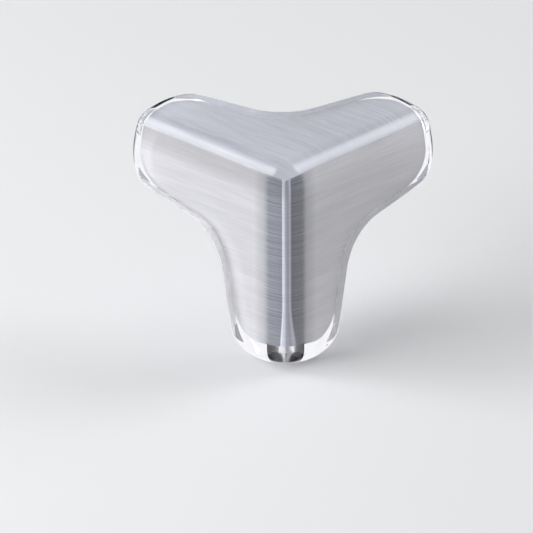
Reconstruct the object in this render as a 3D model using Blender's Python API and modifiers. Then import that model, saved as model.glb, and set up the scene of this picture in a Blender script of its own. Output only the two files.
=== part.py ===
"""Furniture corner protector, moulded in one piece from clear soft PVC.

Three equal panels meet at a right-angled corner and make three arms, one along each edge of the
furniture. The origin is the furniture's own corner point. The arms run along +X, +Y and -Z, the
furniture fills x > 0, y > 0, z < 0, and the rounded outer faces look towards -X, -Y and +Z.
"""

import math

import bmesh
import bpy
from mathutils import Vector

MM = 0.001

# Driving sizes. Lengths along a panel are measured from the sharp outer corner of the guard.
ARM_REACH = 57.2 * MM
ARM_WIDTH = 20.4 * MM
WALL = 6.0 * MM

# A panel's border. An arm's tip slants back towards the ridge, and its flank flares into the crotch.
TIP_SLANT = math.radians(9.0)
TIP_CORNER_RADIUS = 10.0 * MM
CROTCH_FLARE = 2.6 * MM
CROTCH_RADIUS = 13.4 * MM

# Rounding of the outer edges. A tip is rounded through the wall but for a narrow flat.
TIP_LAND = 0.5 * MM
FLANK_EDGE_RADIUS = 1.2 * MM

# Fineness of the round stretches
TIP_STEPS = 10
CROTCH_STEPS = 5
ROUNDING_STEPS = 6
WELD_DISTANCE = 0.001 * MM

# Clear soft PVC with a faint lavender-grey cast
PVC_COLOUR = (0.62, 0.63, 0.69, 1.0)
PVC_ROUGHNESS = 0.12
PVC_IOR = 1.53
PVC_TRANSMISSION = 0.6

X = Vector((1.0, 0.0, 0.0))
Y = Vector((0.0, 1.0, 0.0))
Z = Vector((0.0, 0.0, 1.0))
PANELS = ((X, Y), (Y, -Z), (-Z, X))
OUTER_CORNER = Vector((-WALL, -WALL, WALL))


def on_circle(centre, radius, angle):
    """The point of a circle in a panel's plane at an angle from the first arm."""
    return (centre[0] + radius * math.cos(angle), centre[1] + radius * math.sin(angle))


def round_stretch(centre, radius, start, end, steps):
    """Evenly spaced points along an arc, with both ends."""
    return [on_circle(centre, radius, start + (end - start) * i / steps) for i in range(steps + 1)]


def flank_angle(tip_centre, crotch_centre):
    """The direction that an arm's straight flank faces, where it touches the tip corner and the crotch."""
    along = crotch_centre[0] - tip_centre[0]
    across = crotch_centre[1] - tip_centre[1]
    lean = math.acos((TIP_CORNER_RADIUS + CROTCH_RADIUS) / math.hypot(along, across))
    return math.atan2(across, along) - lean


def half_outline():
    """Half a panel's border as (along, across) points, from the arm's ridge to the panel's diagonal.

    The tip's straight stretch starts on the ridge and turns through the tip corner into the flank,
    and the flank turns into the hollow crotch between the two arms. Each straight stretch touches
    the arcs that it joins.
    """
    tip_centre = (ARM_REACH - TIP_CORNER_RADIUS, ARM_WIDTH - TIP_CORNER_RADIUS)
    crotch_offset = ARM_WIDTH + CROTCH_FLARE + CROTCH_RADIUS
    crotch_centre = (crotch_offset, crotch_offset)
    flank = flank_angle(tip_centre, crotch_centre)
    tip = round_stretch(tip_centre, TIP_CORNER_RADIUS, -TIP_SLANT, flank, TIP_STEPS)
    towards_diagonal = math.pi + math.pi / 4
    crotch = round_stretch(crotch_centre, CROTCH_RADIUS, math.pi + flank, towards_diagonal, CROTCH_STEPS)
    tip_along, tip_across = tip[0]
    ridge_end = (tip_along - tip_across * math.tan(TIP_SLANT), 0.0)
    return [ridge_end] + tip + crotch


def panel_outline():
    """The whole border of a panel, from the outer corner round both its arms."""
    half = half_outline()
    mirrored = [(across, along) for along, across in reversed(half[:-1])]
    return [(0.0, 0.0)] + half + mirrored


def outer_skin():
    """The guard's three outer faces with sharp ridges, as one open surface."""
    bm = bmesh.new()
    outline = panel_outline()
    for first_arm, second_arm in PANELS:
        corners = [OUTER_CORNER + first_arm * a + second_arm * b for a, b in outline]
        bm.faces.new([bm.verts.new(corner) for corner in corners])
    bmesh.ops.remove_doubles(bm, verts=bm.verts, dist=WELD_DISTANCE)
    mesh = bpy.data.meshes.new("outer_skin")
    bm.to_mesh(mesh)
    bm.free()
    return mesh


def thickened(mesh, collection):
    """The skin as a closed wall of even thickness, grown inwards to the furniture's faces."""
    skin = bpy.data.objects.new("outer_skin", mesh)
    collection.objects.link(skin)
    solidify = skin.modifiers.new("Wall", "SOLIDIFY")
    solidify.thickness = WALL
    solidify.offset = -1.0
    solidify.use_even_offset = True
    solidify.use_rim = True
    depsgraph = bpy.context.evaluated_depsgraph_get()
    wall = bpy.data.meshes.new_from_object(skin.evaluated_get(depsgraph))
    bpy.data.objects.remove(skin)
    bpy.data.meshes.remove(mesh)
    return wall


def outer_faces_at(point):
    """How many of the guard's three outer planes a point lies on."""
    from_corner = point - OUTER_CORNER
    return sum(abs(distance) < WELD_DISTANCE for distance in from_corner)


def border_radius(middle, tip_radius):
    """The rounding of the outer border at a point: the tip's at an arm's tip, small on its flank.

    It changes evenly as the border turns the tip corner.
    """
    across = sorted(abs(distance) for distance in middle - OUTER_CORNER)[1]
    into_corner = (across - ARM_WIDTH + TIP_CORNER_RADIUS) / TIP_CORNER_RADIUS
    turned = math.asin(min(max(into_corner, 0.0), 1.0)) / (math.pi / 2)
    return tip_radius + (FLANK_EDGE_RADIUS - tip_radius) * turned


def set_rounding(mesh):
    """Stores how much each outer edge is rounded, as its share of the largest radius.

    The ridges are rounded about the furniture's edges, so the wall is as thick there as elsewhere.
    """
    ridge_radius = WALL
    tip_radius = WALL - TIP_LAND
    weights = mesh.attributes.new("bevel_weight_edge", "FLOAT", "EDGE")
    for edge in mesh.edges:
        ends = [mesh.vertices[i].co for i in edge.vertices]
        middle = (ends[0] + ends[1]) / 2
        planes = outer_faces_at(middle)
        if planes == 2:
            weights.data[edge.index].value = 1.0
        elif planes == 1 and all(outer_faces_at(end) for end in ends):
            weights.data[edge.index].value = border_radius(middle, tip_radius) / ridge_radius
    return ridge_radius


def clear_pvc():
    """Clear, glossy, soft PVC."""
    material = bpy.data.materials.new("clear_pvc")
    material.use_nodes = True
    shader = material.node_tree.nodes["Principled BSDF"]
    shader.inputs["Base Color"].default_value = PVC_COLOUR
    shader.inputs["Roughness"].default_value = PVC_ROUGHNESS
    shader.inputs["IOR"].default_value = PVC_IOR
    shader.inputs["Transmission Weight"].default_value = PVC_TRANSMISSION
    return material


def corner_guard(collection):
    """The finished guard."""
    wall = thickened(outer_skin(), collection)
    largest_radius = set_rounding(wall)
    wall.name = "corner_guard"
    guard = bpy.data.objects.new("corner_guard", wall)
    collection.objects.link(guard)
    bevel = guard.modifiers.new("Rounded edges", "BEVEL")
    bevel.limit_method = "WEIGHT"
    bevel.offset_type = "OFFSET"
    bevel.width = largest_radius
    bevel.segments = ROUNDING_STEPS
    bevel.profile = 0.5
    bevel.use_clamp_overlap = False
    bevel.loop_slide = True
    bevel.harden_normals = True
    wall.materials.append(clear_pvc())
    wall.shade_smooth()
    return guard


def main():
    for leftover in list(bpy.data.objects):
        bpy.data.objects.remove(leftover)
    collection = bpy.data.collections.new("furniture_corner_protector")
    bpy.context.scene.collection.children.link(collection)
    corner_guard(collection)


main()
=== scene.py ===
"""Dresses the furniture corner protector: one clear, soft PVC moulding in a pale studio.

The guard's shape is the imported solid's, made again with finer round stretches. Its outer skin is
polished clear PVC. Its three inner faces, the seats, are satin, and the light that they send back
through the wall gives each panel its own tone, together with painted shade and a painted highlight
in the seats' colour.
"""

import logging
import math
from dataclasses import dataclass, field
from enum import Enum
from typing import Any, Optional, Sequence

import bmesh
import bpy
from mathutils import Matrix, Vector


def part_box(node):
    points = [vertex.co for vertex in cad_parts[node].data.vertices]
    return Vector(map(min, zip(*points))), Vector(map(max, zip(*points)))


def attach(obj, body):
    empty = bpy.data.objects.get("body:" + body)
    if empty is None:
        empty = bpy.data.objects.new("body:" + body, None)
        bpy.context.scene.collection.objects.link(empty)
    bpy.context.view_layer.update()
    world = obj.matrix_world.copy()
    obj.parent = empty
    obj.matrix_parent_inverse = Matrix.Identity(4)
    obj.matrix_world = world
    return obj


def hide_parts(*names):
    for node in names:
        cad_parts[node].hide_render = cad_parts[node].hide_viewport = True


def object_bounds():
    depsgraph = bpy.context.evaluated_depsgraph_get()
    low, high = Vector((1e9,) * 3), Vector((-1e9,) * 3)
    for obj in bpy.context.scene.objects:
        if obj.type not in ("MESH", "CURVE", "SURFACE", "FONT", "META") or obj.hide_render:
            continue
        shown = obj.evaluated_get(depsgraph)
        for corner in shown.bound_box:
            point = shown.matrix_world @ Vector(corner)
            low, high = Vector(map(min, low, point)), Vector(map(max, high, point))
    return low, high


MM = 0.001
FRAME_PIXELS = 533
WELD_DISTANCE = 0.001 * MM
SQUARE_ON = 0.999
ARMS = (Vector((1, 0, 0)), Vector((0, 1, 0)), Vector((0, 0, -1)))
LIGHT_BOUNCES = 32
WHITE = "FFFFFF"

log = logging.getLogger("corner_guard")

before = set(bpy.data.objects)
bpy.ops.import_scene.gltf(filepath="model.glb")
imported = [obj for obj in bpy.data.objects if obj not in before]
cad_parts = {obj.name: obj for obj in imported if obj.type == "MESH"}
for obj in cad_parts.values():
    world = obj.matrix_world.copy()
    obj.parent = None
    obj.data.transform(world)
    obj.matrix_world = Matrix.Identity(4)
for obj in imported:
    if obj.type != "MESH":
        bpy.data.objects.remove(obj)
CAD_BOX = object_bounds()


class Face(Enum):
    """The two kinds of face that the moulding has, by material slot."""

    POLISHED = 0
    SEAT = 1


class SeenBy(Enum):
    """The rays that a black card shows to, by the name of their visibility switch."""

    GLOSS = "visible_glossy"
    CLEAR_WALL = "visible_transmission"


def linear(hex_colour: str, alpha: float = 1.0) -> tuple[float, float, float, float]:
    """Turns an sRGB hex colour into linear light.

    Args:
        hex_colour: Six hex digits.
        alpha: The fourth value of the result.

    Returns:
        Linear red, green and blue, and alpha.
    """
    channels = [int(hex_colour[i:i + 2], 16) / 255 for i in (0, 2, 4)]
    red, green, blue = [c / 12.92 if c <= 0.04045 else ((c + 0.055) / 1.055) ** 2.4 for c in channels]
    return (red, green, blue, alpha)


def add_node(
    tree: bpy.types.NodeTree,
    kind: str,
    settings: Optional[dict[str, Any]] = None,
    inputs: Optional[dict[Any, Any]] = None,
) -> bpy.types.Node:
    """Adds a node with its settings, its input values and its links.

    Args:
        tree: The tree that takes the node.
        kind: The node's type name.
        settings: Attribute values.
        inputs: Socket values by name or index. An output socket is linked instead.

    Returns:
        The new node.
    """
    node = tree.nodes.new(kind)
    for name, value in (settings or {}).items():
        setattr(node, name, value)
    for name, value in (inputs or {}).items():
        if isinstance(value, bpy.types.NodeSocket):
            tree.links.new(value, node.inputs[name])
        else:
            node.inputs[name].default_value = value
    return node


def new_material(name: str) -> bpy.types.Material:
    """Makes an empty node material.

    Args:
        name: The material's name.

    Returns:
        The material, whose tree has no nodes.
    """
    material = bpy.data.materials.new(name)
    material.use_nodes = True
    material.node_tree.nodes.clear()
    return material


def set_stops(ramp: bpy.types.Node, stops: Sequence[tuple[float, str]]) -> None:
    """Gives a colour ramp its stops.

    Args:
        ramp: The colour ramp node.
        stops: Position from 0 to 1 and sRGB hex colour, in rising order.
    """
    elements = ramp.color_ramp.elements
    while len(elements) < len(stops):
        elements.new(1.0)
    for element, (position, colour) in zip(elements, stops):
        element.position = position
        element.color = linear(colour)


def seen_ray(tree: bpy.types.NodeTree, with_camera: bool) -> bpy.types.NodeSocket:
    """Tells the rays that show the backdrop in gloss and through the clear wall from those that light.

    Args:
        tree: The tree that takes the nodes.
        with_camera: Whether the camera's own rays count too.

    Returns:
        A socket that is 1 for such a ray and 0 for any other.
    """
    ray = add_node(tree, "ShaderNodeLightPath")
    seen = add_node(tree, "ShaderNodeMath", {"operation": "MAXIMUM"}, {
        0: ray.outputs["Is Glossy Ray"], 1: ray.outputs["Is Transmission Ray"]})
    if with_camera:
        seen = add_node(tree, "ShaderNodeMath", {"operation": "MAXIMUM"}, {
            0: seen.outputs[0], 1: ray.outputs["Is Camera Ray"]})
    return seen.outputs[0]


def towards(azimuth_deg: float, elevation_deg: float) -> Vector:
    """Gives the direction to a place around the guard.

    Args:
        azimuth_deg: 0 from the front, rising towards +X.
        elevation_deg: The height above the horizon.

    Returns:
        The direction, of length 1.
    """
    azimuth, elevation = math.radians(azimuth_deg), math.radians(elevation_deg)
    flat = math.cos(elevation)
    return Vector((math.sin(azimuth) * flat, -math.cos(azimuth) * flat, math.sin(elevation)))


def to_mesh(bm: bmesh.types.BMesh, name: str) -> bpy.types.Mesh:
    """Turns a bmesh into a mesh and frees it.

    Args:
        bm: The finished bmesh.
        name: The mesh's name.

    Returns:
        The new mesh.
    """
    mesh = bpy.data.meshes.new(name)
    bm.to_mesh(mesh)
    bm.free()
    return mesh


def add_object(name: str, data: Any) -> bpy.types.Object:
    """Links a new object to the scene.

    Args:
        name: The object's name.
        data: Its mesh, light or camera.

    Returns:
        The object.
    """
    made = bpy.data.objects.new(name, data)
    bpy.context.scene.collection.objects.link(made)
    return made


@dataclass(frozen=True)
class PolishedClearPvc:
    """Plasticised PVC from a polished mould: glossy and clear with a faint lavender cast.

    The soft skin isn't quite even. It ripples gently where the melt cooled, and handling has
    dulled its gloss in faint patches, so highlights run softly instead of ruler-straight.
    """

    tint: str = "F6F6FB"
    ior: float = 1.53
    gloss: tuple[float, float] = (0.012, 0.045)
    patch_mm: float = 7.0
    patch_noise: tuple[float, float] = (0.35, 0.7)
    ripple_mm: float = 12.0
    ripple_height_mm: float = 0.012

    def material(self) -> bpy.types.Material:
        """Builds the node material."""
        made = new_material("polished_clear_pvc")
        tree = made.node_tree
        place = add_node(tree, "ShaderNodeTexCoord").outputs["Object"]
        patches = add_node(tree, "ShaderNodeTexNoise", inputs={
            "Vector": place, "Scale": 1.0 / (self.patch_mm * MM), "Detail": 4.0, "Roughness": 0.6})
        dulled = add_node(tree, "ShaderNodeMapRange", inputs={
            "Value": patches.outputs[0], "From Min": self.patch_noise[0], "From Max": self.patch_noise[1],
            "To Min": self.gloss[0], "To Max": self.gloss[1]})
        ripple = add_node(tree, "ShaderNodeTexNoise", inputs={
            "Vector": place, "Scale": 1.0 / (self.ripple_mm * MM), "Detail": 1.0})
        bump = add_node(tree, "ShaderNodeBump", inputs={
            "Strength": 1.0, "Distance": self.ripple_height_mm * MM, "Height": ripple.outputs[0]})
        shader = add_node(tree, "ShaderNodeBsdfPrincipled", inputs={
            "Base Color": linear(self.tint),
            "Roughness": dulled.outputs[0],
            "IOR": self.ior,
            "Transmission Weight": 1.0,
            "Normal": bump.outputs[0],
        })
        add_node(tree, "ShaderNodeOutputMaterial", inputs={"Surface": shader.outputs[0]})
        return made


@dataclass(frozen=True)
class SatinSeat:
    """The seat faces, satin from a straight-brushed mould, seen as a pale tone behind the wall.

    The brushing gives fine streaks that run round the corner. The two side faces carry painted shade
    towards the edge where they meet, with a pale painted highlight line on the edge itself that flares
    at the foot. The right side face and the top seat are painted darker than the left as painted shade,
    and just under the top the left side face has painted shade and the right one painted light.
    """

    # Colours: the top seat's, painted darker and bluer than the side seats as painted shade; the side
    # seats' by the distance in mm from their common edge, darkest at it as painted shade; and the pale
    # painted highlight line's across its width, from its left border at 0 to its right one at 1
    top: str = "C4C7D0"
    edge_shade_ramp: tuple[tuple[float, str], ...] = (
        (0.0, "7D808C"), (2.8, "858890"), (4.6, "BCBDC1"), (8.0, "DADADB"),
    )
    highlight_ramp: tuple[tuple[float, str], ...] = (
        (0.0, "F2F4FB"), (0.14, "D5D8E1"), (0.4, "BBBEC8"), (0.66, "B3B5C0"), (0.76, "A1A4B0"),
        (0.9, "C6C9D2"), (1.0, "ADB0BA"),
    )
    ramp_mm: float = 10.0

    # The pale painted highlight line on the common edge: its width on the right and the left side, how its
    # border eases as a share of that width, and the depths between which it flares to so many times the
    # width, as a painted reflection of the foot's rounding
    highlight_mm: tuple[float, float] = (1.15, 0.6)
    highlight_border: tuple[float, float] = (0.92, 1.12)
    flare_mm: tuple[float, float] = (33.0, 50.0)
    flare: float = 1.9

    # The painted shade band beside the edge, the painted shade that darkens the right side, and just
    # under the top the painted shade on the left side and painted light on the right
    edge_shade_mm: tuple[float, float] = (2.6, 4.6)
    right_side_shade: float = 0.88
    right_shade_near_edge: float = 0.66
    side_ease_mm: float = 1.3
    left_shade_below_top: float = 0.67
    right_light_below_top: float = 1.14
    under_top_mm: float = 6.5
    top_seat_mm: float = 0.05

    # Brushing: real streaks are finer, and these are as coarse as the picture needs to show them.
    # Each size is a length and a width, and each pair of levels goes from dark to pale.
    streak_mm: tuple[float, float] = (14.0, 0.45)
    streak_levels: tuple[float, float] = (0.94, 1.04)
    edge_shade_streaks: tuple[float, float] = (0.66, 1.30)
    top_streaks: float = 0.3
    drift_mm: tuple[float, float] = (30.0, 2.2)
    drift_levels: tuple[float, float] = (0.95, 1.03)
    noise_range: tuple[float, float] = (0.3, 0.7)
    top_noise_shift: float = 40.0
    streak_depth_mm: float = 0.002

    # The satin itself
    ior: float = 1.53
    clearness: float = 0.04
    roughness: tuple[float, float] = (0.28, 0.40)

    def level(self, tree: bpy.types.NodeTree, value: Any, start: float, end: float, low: Any = 0.0,
              high: Any = 1.0) -> bpy.types.NodeSocket:
        """Eases a value from one level to another.

        Args:
            tree: The tree that takes the nodes.
            value: The socket that is read.
            start: Its value at the low level.
            end: Its value at the high level.
            low: The low level, as a number or a socket.
            high: The high level, as a number or a socket.

        Returns:
            The eased socket.
        """
        return add_node(tree, "ShaderNodeMapRange", {"interpolation_type": "SMOOTHSTEP"}, {
            "Value": value, "From Min": start, "From Max": end, "To Min": low, "To Max": high}).outputs[0]

    def arithmetic(self, tree: bpy.types.NodeTree, operation: str, first: Any,
                   second: Any) -> bpy.types.NodeSocket:
        """Adds one arithmetic node and returns its socket."""
        return add_node(tree, "ShaderNodeMath", {"operation": operation}, {0: first, 1: second}).outputs[0]

    def scaled(self, tree: bpy.types.NodeTree, colour: Any, factor: Any) -> bpy.types.NodeSocket:
        """Makes a colour lighter or darker by a factor."""
        return add_node(tree, "ShaderNodeVectorMath", {"operation": "SCALE"}, {
            0: colour, "Scale": factor}).outputs[0]

    def blend(self, tree: bpy.types.NodeTree, factor: Any, first: Any, second: Any) -> bpy.types.NodeSocket:
        """Mixes two colours."""
        return add_node(tree, "ShaderNodeMix", {"data_type": "RGBA"}, {
            "Factor": factor, 6: first, 7: second}).outputs[2]

    def choice(self, tree: bpy.types.NodeTree, factor: Any, first: Any, second: Any) -> bpy.types.NodeSocket:
        """Mixes two numbers."""
        return add_node(tree, "ShaderNodeMix", inputs={"Factor": factor, 2: first, 3: second}).outputs[0]

    def grain(self, tree: bpy.types.NodeTree, brushed: Any,
              size: tuple[float, float]) -> bpy.types.NodeSocket:
        """Noise that is drawn out along the brushing.

        Args:
            tree: The tree that takes the nodes.
            brushed: The place, with X along the brushing and Y across it.
            size: The noise's length and width in millimetres.

        Returns:
            The noise's socket.
        """
        stretched = add_node(tree, "ShaderNodeVectorMath", {"operation": "MULTIPLY"}, {
            0: brushed, 1: (1.0 / (size[0] * MM), 1.0 / (size[1] * MM), self.top_noise_shift)})
        return add_node(tree, "ShaderNodeTexNoise", inputs={
            "Vector": stretched.outputs[0], "Scale": 1.0, "Detail": 3.0, "Roughness": 0.55}).outputs[0]

    def side_colour(self, tree: bpy.types.NodeTree, axes: bpy.types.Node, around: Any,
                    in_edge_shade: Any) -> tuple[bpy.types.NodeSocket, bpy.types.NodeSocket]:
        """The side faces' colour, with painted shade and light by the distance from their common edge and
        from the top.

        Args:
            tree: The tree that takes the nodes.
            axes: The node that gives the place's X, Y and Z.
            around: The distance from the edge.
            in_edge_shade: 1 in the painted shade band beside the edge and 0 outside.

        Returns:
            The colour's socket, and one that is 0 on the painted highlight line and 1 outside it.
        """
        # Painted shade: the side seats darken towards their common edge, where the two walls meet.
        edge_place = add_node(tree, "ShaderNodeMapRange", inputs={
            "Value": around, "From Max": self.ramp_mm * MM})
        edge_shade_ramp = add_node(tree, "ShaderNodeValToRGB", inputs={0: edge_place.outputs[0]})
        set_stops(edge_shade_ramp, [(mm / self.ramp_mm, colour) for mm, colour in self.edge_shade_ramp])

        # Painted highlight: a pale line on the common edge, widening towards the foot as a painted
        # reflection.
        flare_start, flare_end = (-depth * MM for depth in self.flare_mm)
        flared = self.level(tree, axes.outputs["Z"], flare_start, flare_end, 1.0, self.flare)
        on_right, on_left = (
            self.arithmetic(tree, "DIVIDE", axes.outputs[axis],
                            self.arithmetic(tree, "MULTIPLY", flared, width * MM))
            for axis, width in zip("XY", self.highlight_mm))
        highlight_place = add_node(tree, "ShaderNodeMapRange", inputs={
            "Value": self.arithmetic(tree, "SUBTRACT", on_right, on_left), "From Min": -1.0, "From Max": 1.0})
        highlight_ramp = add_node(tree, "ShaderNodeValToRGB", inputs={0: highlight_place.outputs[0]})
        set_stops(highlight_ramp, self.highlight_ramp)
        off_highlight = self.level(
            tree, self.arithmetic(tree, "MAXIMUM", on_right, on_left), *self.highlight_border)

        # Painted shade: the right side face is darker than the left, and darker still in the band beside the
        # edge.
        right_side_shade = self.level(tree, in_edge_shade, 0.0, 1.0, self.right_side_shade, self.right_shade_near_edge)
        on_right_side = self.level(tree, axes.outputs["X"], 0.0, self.side_ease_mm * MM)
        shade_by_side = self.level(tree, on_right_side, 0.0, 1.0, 1.0, right_side_shade)
        # Just under the top, painted shade on the left side face and painted light on the right one.
        highest = self.level(tree, on_right_side, 0.0, 1.0, self.left_shade_below_top, self.right_light_below_top)
        under_top = self.level(tree, axes.outputs["Z"], 0.0, -self.under_top_mm * MM, highest, 1.0)
        shaded = self.scaled(tree, edge_shade_ramp.outputs[0], shade_by_side)
        blended = self.blend(tree, off_highlight, highlight_ramp.outputs[0], shaded)
        return self.scaled(tree, blended, under_top), off_highlight

    def material(self) -> bpy.types.Material:
        """Builds the node material."""
        made = new_material("satin_pvc_seat")
        tree = made.node_tree
        place = add_node(tree, "ShaderNodeTexCoord").outputs["Object"]
        axes = add_node(tree, "ShaderNodeSeparateXYZ", inputs={0: place})
        around = self.arithmetic(tree, "ADD", axes.outputs["X"], axes.outputs["Y"])
        on_top = self.arithmetic(tree, "GREATER_THAN", axes.outputs["Z"], -self.top_seat_mm * MM)
        brushed = add_node(tree, "ShaderNodeCombineXYZ", inputs={
            0: self.choice(tree, on_top, around, axes.outputs["Y"]),
            1: self.choice(tree, on_top, axes.outputs["Z"], axes.outputs["X"]),
            2: on_top,
        }).outputs[0]
        # The band of painted shade beside the common edge: 1 in it, easing to 0 away from it.
        in_edge_shade = self.level(tree, around, self.edge_shade_mm[0] * MM, self.edge_shade_mm[1] * MM, 1.0, 0.0)

        streaks = self.grain(tree, brushed, self.streak_mm)
        drift = self.grain(tree, brushed, self.drift_mm)
        sides, off_highlight = self.side_colour(tree, axes, around, in_edge_shade)
        # The top seat's own colour is painted darker and bluer than the side seats, as painted shade.
        colour = self.blend(tree, on_top, sides, linear(self.top))
        strong_on_sides = self.arithmetic(tree, "MULTIPLY", in_edge_shade, off_highlight)
        strong = self.choice(tree, on_top, strong_on_sides, self.top_streaks)
        low, high = (self.level(tree, strong, 0.0, 1.0, faint, full)
                     for faint, full in zip(self.streak_levels, self.edge_shade_streaks))
        colour = self.scaled(tree, colour, self.level(tree, streaks, *self.noise_range, low, high))
        colour = self.scaled(tree, colour, self.level(tree, drift, *self.noise_range, *self.drift_levels))

        sheen = add_node(tree, "ShaderNodeMapRange", inputs={
            "Value": streaks, "To Min": self.roughness[0], "To Max": self.roughness[1]})
        bump = add_node(tree, "ShaderNodeBump", inputs={
            "Strength": 1.0, "Distance": self.streak_depth_mm * MM, "Height": streaks})
        shader = add_node(tree, "ShaderNodeBsdfPrincipled", inputs={
            "Base Color": colour,
            "Roughness": sheen.outputs[0],
            "IOR": self.ior,
            "Transmission Weight": self.clearness,
            "Normal": bump.outputs[0],
        })
        add_node(tree, "ShaderNodeOutputMaterial", inputs={"Surface": shader.outputs[0]})
        return made


@dataclass(frozen=True)
class BackdropPaper:
    """Matt pale grey paper on the floor. Gloss and the clear wall show it as plain white."""

    colour: str = "E6E7E9"

    def material(self) -> bpy.types.Material:
        """Builds the node material."""
        made = new_material("floor_paper")
        tree = made.node_tree
        paper = add_node(tree, "ShaderNodeBsdfDiffuse", inputs={"Color": linear(self.colour)})
        white = add_node(tree, "ShaderNodeEmission", inputs={"Color": linear(WHITE), "Strength": 1.0})
        surface = add_node(tree, "ShaderNodeMixShader", inputs={
            0: seen_ray(tree, with_camera=False), 1: paper.outputs[0], 2: white.outputs[0]})
        add_node(tree, "ShaderNodeOutputMaterial", inputs={"Surface": surface.outputs[0]})
        return made


@dataclass(frozen=True)
class BlackFelt:
    """Black wool felt on the cards: dull, and close to lightless."""

    colour: str = "0A0A0A"

    def material(self) -> bpy.types.Material:
        """Builds the node material."""
        made = new_material("black_felt")
        wool = add_node(made.node_tree, "ShaderNodeBsdfDiffuse", inputs={"Color": linear(self.colour)})
        add_node(made.node_tree, "ShaderNodeOutputMaterial", inputs={"Surface": wool.outputs[0]})
        return made


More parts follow.
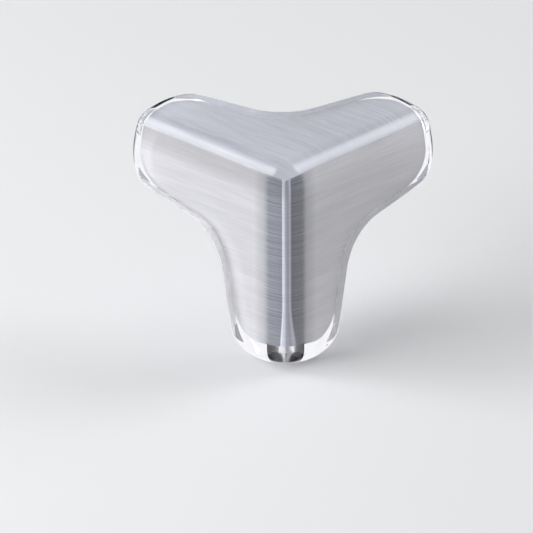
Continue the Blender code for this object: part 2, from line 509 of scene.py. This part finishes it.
@dataclass
class CornerGuard:
    """The moulding. Sizes are in millimetres, and along a panel they start at the sharp outer corner."""

    arm_width: float = 20.4
    tip_slant_deg: float = 9.0
    tip_corner_radius: float = 10.0
    crotch_flare: float = 2.6
    crotch_radius: float = 13.4
    tip_land: float = 0.5
    flank_edge_radius: float = 1.2
    side_rim: float = 3.0
    foot_rim: float = 5.3
    rim_steps: int = 14
    tip_steps: int = 40
    crotch_steps: int = 24
    rounding_steps: int = 16
    sharp_deg: float = 60.0
    wall: float = field(init=False)
    arm_reach: float = field(init=False)

    def __post_init__(self) -> None:
        """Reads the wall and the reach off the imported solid."""
        low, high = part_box("corner_guard")
        self.wall = -low[0] / MM
        self.arm_reach = (high[0] - low[0]) / MM

    def outer_corner(self) -> Vector:
        """The sharp outer corner, in the frame's directions."""
        return Vector((-self.wall, -self.wall, self.wall))

    def tip_centre(self) -> Vector:
        """The centre of a tip's corner arc, as (along, across) from the sharp outer corner."""
        return Vector((self.arm_reach - self.tip_corner_radius, self.arm_width - self.tip_corner_radius, 0.0))

    def crotch_centre(self) -> Vector:
        """The centre of the hollow between two arms."""
        offset = self.arm_width + self.crotch_flare + self.crotch_radius
        return Vector((offset, offset, 0.0))

    def flank_angle(self) -> float:
        """The direction that a straight flank faces, where it touches the tip corner and the crotch."""
        span = self.crotch_centre() - self.tip_centre()
        lean = math.acos((self.tip_corner_radius + self.crotch_radius) / span.length)
        return math.atan2(span.y, span.x) - lean

    def half_border(self, bm: bmesh.types.BMesh) -> None:
        """Draws half a panel's border as a run of edges, from the arm's ridge to the panel's diagonal.

        Args:
            bm: An empty bmesh, which takes the border.
        """
        tip_centre = self.tip_centre()
        crotch_centre = self.crotch_centre()
        slant = math.radians(self.tip_slant_deg)
        flank = self.flank_angle()
        start = tip_centre + Vector((math.cos(slant), -math.sin(slant), 0.0)) * self.tip_corner_radius
        ridge_end = Vector((start.x - start.y * math.tan(slant), 0.0, 0.0))
        corner = bm.verts.new((0.0, 0.0, 0.0))
        ridge = bm.verts.new(ridge_end)
        first = bm.verts.new(start)
        bm.edges.new((corner, ridge))
        bm.edges.new((ridge, first))
        spin_axis = Vector((0.0, 0.0, 1.0))
        turned = bmesh.ops.spin(bm, geom=[first], cent=tip_centre, axis=spin_axis, angle=slant + flank,
                                steps=self.tip_steps)
        last = turned["geom_last"][0]
        flank_end = crotch_centre - (last.co - tip_centre).normalized() * self.crotch_radius
        hollow = bm.verts.new(flank_end)
        bm.edges.new((last, hollow))
        bmesh.ops.spin(bm, geom=[hollow], cent=crotch_centre, axis=spin_axis, angle=math.pi / 4 - flank,
                       steps=self.crotch_steps)

    def outer_skin(self) -> bpy.types.Mesh:
        """Makes the three outer faces with sharp ridges, as one open surface.

        Returns:
            The mesh, in metres, in the row frame.
        """
        bm = bmesh.new()
        self.half_border(bm)
        # The half border is mirrored across the panel's diagonal
        swap = Matrix(((0, 1, 0, 0), (1, 0, 0, 0), (0, 0, 1, 0), (0, 0, 0, 1)))
        other = bmesh.ops.duplicate(bm, geom=bm.verts[:] + bm.edges[:])["geom"]
        bmesh.ops.transform(bm, matrix=swap, verts=[g for g in other if isinstance(g, bmesh.types.BMVert)])
        bmesh.ops.remove_doubles(bm, verts=bm.verts, dist=WELD_DISTANCE / MM)
        bmesh.ops.contextual_create(bm, geom=bm.edges[:])
        panel = bm.verts[:] + bm.edges[:] + bm.faces[:]
        # Two turns about the corner's own axis carry the panel from arm to arm
        step = Matrix(((0, 0, -1, 0), (1, 0, 0, 0), (0, -1, 0, 0), (0, 0, 0, 1)))
        for turn in (step, step @ step):
            copy = bmesh.ops.duplicate(bm, geom=panel)["geom"]
            bmesh.ops.transform(bm, matrix=turn, verts=[g for g in copy if isinstance(g, bmesh.types.BMVert)])
        bmesh.ops.remove_doubles(bm, verts=bm.verts, dist=WELD_DISTANCE / MM)
        bmesh.ops.translate(bm, verts=bm.verts, vec=self.outer_corner())
        bmesh.ops.scale(bm, verts=bm.verts, vec=(MM, MM, MM))
        bmesh.ops.recalc_face_normals(bm, faces=bm.faces)
        if sum(face.normal.z for face in bm.faces) < 0:
            bmesh.ops.reverse_faces(bm, faces=bm.faces)
        return to_mesh(bm, "outer_skin")

    def applied(self, mesh: bpy.types.Mesh, kind: str, settings: dict[str, Any]) -> bpy.types.Mesh:
        """Runs one modifier on a mesh.

        Args:
            mesh: The mesh, which is removed.
            kind: The modifier's type name.
            settings: The modifier's attribute values.

        Returns:
            The result as a new mesh.
        """
        holder = add_object("holder", mesh)
        modifier = holder.modifiers.new(kind.title(), kind)
        for name, value in settings.items():
            setattr(modifier, name, value)
        made = bpy.data.meshes.new_from_object(holder.evaluated_get(bpy.context.evaluated_depsgraph_get()))
        bpy.data.objects.remove(holder)
        bpy.data.meshes.remove(mesh)
        return made

    def planes_at(self, point: Vector) -> int:
        """How many of the three outer planes a point lies on."""
        away = point - self.outer_corner() * MM
        return sum(abs(distance) < WELD_DISTANCE for distance in away)

    def border_radius(self, middle: Vector) -> float:
        """The rounding of the outer border: full at an arm's tip, and small on its flank.

        Args:
            middle: A point of the border, in metres.

        Returns:
            The radius in millimetres.
        """
        away = middle - self.outer_corner() * MM
        across, along = sorted(abs(distance) / MM for distance in away)[1:]
        centre = self.tip_centre()
        slant = math.radians(self.tip_slant_deg)
        angle = math.atan2(across - centre.y, along - centre.x)
        turned = min(max((angle + slant) / (self.flank_angle() + slant), 0.0), 1.0)
        left = (1.0 - turned) ** 3 * (1.0 + 3.0 * turned)
        tip_radius = self.wall - self.tip_land
        return self.flank_edge_radius + (tip_radius - self.flank_edge_radius) * left

    def set_rounding(self, mesh: bpy.types.Mesh) -> None:
        """Stores each outer edge's rounding as its share of the ridge's.

        Args:
            mesh: The walled moulding with sharp edges.
        """
        weights = mesh.attributes.new("bevel_weight_edge", "FLOAT", "EDGE")
        for edge in mesh.edges:
            ends = [mesh.vertices[i].co for i in edge.vertices]
            middle = (ends[0] + ends[1]) / 2
            planes = self.planes_at(middle)
            if planes == 2:
                weights.data[edge.index].value = 1.0
            elif planes == 1 and all(self.planes_at(end) for end in ends):
                weights.data[edge.index].value = self.border_radius(middle) / self.wall

    def cut_face(self, bm: bmesh.types.BMesh, face: bmesh.types.BMFace, point: Vector,
                 facing: Vector) -> list[bmesh.types.BMFace]:
        """Cuts one face with a plane.

        Args:
            bm: The moulding.
            face: The face to cut.
            point: A point of the plane.
            facing: The plane's normal.

        Returns:
            The pieces of the face, the largest first.
        """
        cut = bmesh.ops.bisect_plane(bm, geom=[face, *face.edges, *face.verts], dist=WELD_DISTANCE,
                                     plane_co=point, plane_no=facing)
        pieces = [g for g in cut["geom"] if isinstance(g, bmesh.types.BMFace)]
        return sorted(pieces, key=bmesh.types.BMFace.calc_area, reverse=True)

    def satin_parts(self, bm: bmesh.types.BMesh, seat: bmesh.types.BMFace) -> list[bmesh.types.BMFace]:
        """Parts a seat's satin face from the rim that is left at its two arms' tips.

        Args:
            bm: The moulding.
            seat: The whole seat face.

        Returns:
            The faces that are satin.
        """
        arms = [arm for arm in ARMS if abs(arm.dot(seat.normal)) < SQUARE_ON]
        tip_centre = self.tip_centre()
        slant = math.radians(self.tip_slant_deg)
        flank = self.flank_angle()
        ends = []
        for along, across in (arms, arms[::-1]):
            centre = (along * (tip_centre.x - self.wall) + across * (tip_centre.y - self.wall)) * MM
            seat, end = self.cut_face(bm, seat, centre, along)
            rim = self.foot_rim if along.z else self.side_rim
            for step in range(self.rim_steps):
                turned = step / self.rim_steps
                angle = turned * flank - slant * (1 - turned)
                facing = along * math.cos(angle) + across * math.sin(angle)
                kept = (self.tip_corner_radius - rim * (1 - turned)) * MM
                end = self.cut_face(bm, end, centre + facing * kept, facing)[0]
            ends.append(end)
        return [seat, *ends]

    def set_slots(self, mesh: bpy.types.Mesh) -> None:
        """Leaves a polished rim on each seat at the arms' tips, and gives every face its slot.

        Args:
            mesh: The finished moulding.
        """
        bm = bmesh.new()
        bm.from_mesh(mesh)
        seats = [face for face in bm.faces if self.is_seat(face)]
        satin = {part for seat in seats for part in self.satin_parts(bm, seat)}
        for face in bm.faces:
            face.material_index = (Face.SEAT if face in satin else Face.POLISHED).value
        bm.to_mesh(mesh)
        bm.free()

    def is_seat(self, face: bmesh.types.BMFace) -> bool:
        """Whether a face lies on one of the three seat planes."""
        centre = face.calc_center_median()
        return any(abs(c) < WELD_DISTANCE and abs(n) > SQUARE_ON for c, n in zip(centre, face.normal))

    def build(self) -> bpy.types.Object:
        """Models the whole moulding and marks its seat faces.

        Returns:
            The object, linked to the scene, with the finished mesh.
        """
        walled = self.applied(self.outer_skin(), "SOLIDIFY", {
            "thickness": self.wall * MM, "offset": -1.0, "use_even_offset": True, "use_rim": True,
        })
        self.set_rounding(walled)
        walled.shade_smooth()
        weights = walled.attributes["bevel_weight_edge"].data
        walled.set_sharp_from_angle(angle=math.radians(self.sharp_deg))
        for edge in walled.edges:
            if weights[edge.index].value > 0.0:
                edge.use_edge_sharp = False
        mesh = self.applied(walled, "BEVEL", {
            "limit_method": "WEIGHT", "offset_type": "OFFSET", "width": self.wall * MM,
            "segments": self.rounding_steps, "profile": 0.5, "use_clamp_overlap": False,
            "loop_slide": True, "harden_normals": True,
        })
        self.set_slots(mesh)
        mesh.name = "moulded_guard"
        return add_object("moulded_guard", mesh)


@dataclass(frozen=True)
class Softbox:
    """A square softbox that faces the guard and fades towards its edges.

    The azimuth is 0 from the front and rises towards +X, and the elevation is above the horizon.
    Its size and distance are in metres. The fade keeps the light's whole output.
    """

    name: str
    azimuth_deg: float
    elevation_deg: float
    watts: float
    in_gloss: bool = True
    through_wall: bool = True
    size: float = 0.9
    distance: float = 1.2
    fade: float = 36.0

    def build(self) -> bpy.types.Object:
        """Hangs the softbox in its place.

        Returns:
            The lamp.
        """
        light = bpy.data.lights.new(self.name, "AREA")
        light.shape = "SQUARE"
        light.size = self.size
        light.energy = self.watts
        light.use_nodes = True
        tree = light.node_tree
        tree.nodes.clear()
        spot = add_node(tree, "ShaderNodeNewGeometry").outputs["Parametric"]
        rest = add_node(tree, "ShaderNodeVectorMath", {"operation": "SUBTRACT"}, {
            0: (1.0, 1.0, 1.0), 1: spot})
        bows = add_node(tree, "ShaderNodeVectorMath", {"operation": "MULTIPLY"}, {
            0: spot, 1: rest.outputs[0]})
        bow = add_node(tree, "ShaderNodeSeparateXYZ", inputs={0: bows.outputs[0]})
        dome = add_node(tree, "ShaderNodeMath", {"operation": "MULTIPLY"}, {
            0: bow.outputs["X"], 1: bow.outputs["Y"]})
        strength = add_node(tree, "ShaderNodeMath", {"operation": "MULTIPLY"}, {
            0: dome.outputs[0], 1: self.fade})
        glow = add_node(tree, "ShaderNodeEmission", inputs={"Strength": strength.outputs[0]})
        add_node(tree, "ShaderNodeOutputLight", inputs={"Surface": glow.outputs[0]})
        lamp = add_object(self.name, light)
        away = towards(self.azimuth_deg, self.elevation_deg)
        lamp.location = away * self.distance
        lamp.rotation_euler = away.to_track_quat("Z", "Y").to_euler()
        lamp.visible_glossy = self.in_gloss
        lamp.visible_transmission = self.through_wall
        return lamp


@dataclass(frozen=True)
class BlackCard:
    """A card of black felt that neither the camera nor the light sees.

    It gives the clear edges their dark marks, either by its reflection or through the clear wall.
    Sizes are in millimetres. It lies flat on the floor, or stands upright at its lift above it.
    """

    name: str
    size: tuple[float, float]
    centre: tuple[float, float]
    turn_deg: float = 0.0
    upright: bool = False
    lift: float = 0.0
    seen_by: SeenBy = SeenBy.CLEAR_WALL

    def build(self, level: float, felt: bpy.types.Material) -> bpy.types.Object:
        """Sets up the card.

        Args:
            level: The height of a flat card in metres.
            felt: The card's material.

        Returns:
            The card.
        """
        bm = bmesh.new()
        bmesh.ops.create_grid(bm, x_segments=1, y_segments=1, size=0.5)
        bmesh.ops.scale(bm, verts=bm.verts, vec=(self.size[0] * MM, self.size[1] * MM, 1.0))
        if self.upright:
            bmesh.ops.rotate(bm, verts=bm.verts, matrix=Matrix.Rotation(math.pi / 2, 3, "X"))
            bmesh.ops.translate(bm, verts=bm.verts, vec=(0.0, 0.0, (self.lift + self.size[1] / 2) * MM))
        bmesh.ops.rotate(bm, verts=bm.verts, matrix=Matrix.Rotation(math.radians(self.turn_deg), 3, "Z"))
        bmesh.ops.translate(bm, verts=bm.verts, vec=(self.centre[0] * MM, self.centre[1] * MM, level))
        mesh = to_mesh(bm, self.name)
        mesh.materials.append(felt)
        card = add_object(self.name, mesh)
        for switch in ("visible_camera", "visible_diffuse", "visible_shadow"):
            setattr(card, switch, False)
        for rays in SeenBy:
            setattr(card, rays.value, rays is self.seen_by)
        return card


@dataclass
class Studio:
    """The pale floor and backdrop, the soft lamps and the black cards."""

    even_light: float = 0.27
    floor_size: float = 3.0
    floor_gap_mm: float = 0.2
    card_gap_mm: float = 0.05
    softboxes: tuple[Softbox, ...] = (
        Softbox("key_softbox", -106.0, 10.0, 20.0, in_gloss=False),
        Softbox("ridge_softbox_left", -143.0, 37.0, 7.4, through_wall=False),
        Softbox("ridge_softbox_right", 68.0, 38.0, 5.2, through_wall=False),
    )
    cards: tuple[BlackCard, ...] = (
        BlackCard("card_behind", (500.0, 72.0), (81.3, 81.3), -45.0, upright=True, seen_by=SeenBy.GLOSS),
        BlackCard("card_left_tip", (46.0, 14.0), (63.2, 80.5), 73.0),
        BlackCard("card_right_tip", (34.0, 12.0), (93.0, 65.0), 20.0),
        BlackCard("card_foot", (5.2, 3.6), (1.6, 1.6), -45.0, upright=True, lift=2.3),
        BlackCard("card_by_foot", (18.0, 14.0), (-6.0, -6.0), -45.0, seen_by=SeenBy.GLOSS),
    )

    def floor(self, level: float) -> bpy.types.Object:
        """Lays the floor.

        Args:
            level: Its height in metres.

        Returns:
            The floor.
        """
        bm = bmesh.new()
        bmesh.ops.create_grid(bm, x_segments=1, y_segments=1, size=self.floor_size)
        bmesh.ops.translate(bm, verts=bm.verts, vec=(0.0, 0.0, level))
        mesh = to_mesh(bm, "floor")
        mesh.materials.append(BackdropPaper().material())
        floor = add_object("floor", mesh)
        return floor

    def world(self) -> None:
        """Sets the even surrounding light."""
        world = bpy.data.worlds.new("studio")
        world.use_nodes = True
        tree = world.node_tree
        tree.nodes.clear()
        bpy.context.scene.world = world
        strength = add_node(tree, "ShaderNodeMapRange", inputs={
            "Value": seen_ray(tree, with_camera=True), "To Min": self.even_light, "To Max": 1.0})
        shader = add_node(tree, "ShaderNodeBackground", inputs={
            "Color": linear(WHITE), "Strength": strength.outputs[0]})
        add_node(tree, "ShaderNodeOutputWorld", inputs={"Surface": shader.outputs[0]})

    def build(self) -> None:
        """Sets up the floor just under the guard, the cards on it, the world and the lamps."""
        floor_level = CAD_BOX[0][2] - self.floor_gap_mm * MM
        self.floor(floor_level)
        felt = BlackFelt().material()
        for card in self.cards:
            card.build(floor_level + self.card_gap_mm * MM, felt)
        self.world()
        for softbox in self.softboxes:
            softbox.build()


@dataclass
class PhotoCamera:
    """The camera at the photograph's viewing angle, framed on the guard's sharp outer corner."""

    azimuth_deg: float = -45.70
    elevation_deg: float = 25.805
    roll_deg: float = -0.248
    lens_mm: float = 330.0
    sensor_mm: float = 36.0
    pixels_per_mm: float = 4.04
    corner_column: float = 285.67
    corner_row: float = 173.19
    clip: tuple[float, float] = (0.05, 20.0)

    def build(self, corner: Vector) -> bpy.types.Object:
        """Places the camera so that the corner falls on its pixel.

        Args:
            corner: The guard's sharp outer corner, in metres.

        Returns:
            The camera.
        """
        data = bpy.data.cameras.new("photo_camera")
        data.lens = self.lens_mm
        data.sensor_width = self.sensor_mm
        data.clip_start, data.clip_end = self.clip
        azimuth = math.radians(self.azimuth_deg)
        back = towards(self.azimuth_deg, self.elevation_deg)
        level = Vector((math.cos(azimuth), math.sin(azimuth), 0.0))
        right = Matrix.Rotation(math.radians(self.roll_deg), 3, back) @ level
        up = back.cross(right)
        focal_pixels = self.lens_mm / self.sensor_mm * FRAME_PIXELS
        distance = focal_pixels / self.pixels_per_mm * MM
        aside = (self.corner_column - FRAME_PIXELS / 2) / self.pixels_per_mm * MM
        above = (FRAME_PIXELS / 2 - self.corner_row) / self.pixels_per_mm * MM
        place = corner + back * distance - right * aside - up * above
        turned = Matrix((right, up, back)).transposed().to_4x4()
        camera = add_object("photo_camera", data)
        camera.matrix_world = Matrix.Translation(place) @ turned
        bpy.context.scene.camera = camera
        return camera


def main() -> None:
    """Builds the guard, the studio and the camera."""
    logging.basicConfig(level=logging.INFO, format="%(message)s")
    moulding = CornerGuard()
    guard = moulding.build()
    guard.data.materials.append(PolishedClearPvc().material())
    guard.data.materials.append(SatinSeat().material())
    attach(guard, "root")
    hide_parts("corner_guard")
    log.info("moulded_guard: %d faces", len(guard.data.polygons))
    Studio().build()
    PhotoCamera().build(moulding.outer_corner() * MM)
    scene = bpy.context.scene
    scene.view_settings.view_transform = "Standard"
    scene.cycles.max_bounces = LIGHT_BOUNCES
    scene.cycles.glossy_bounces = LIGHT_BOUNCES
    scene.cycles.transmission_bounces = LIGHT_BOUNCES


if __name__ == "__main__":
    main()
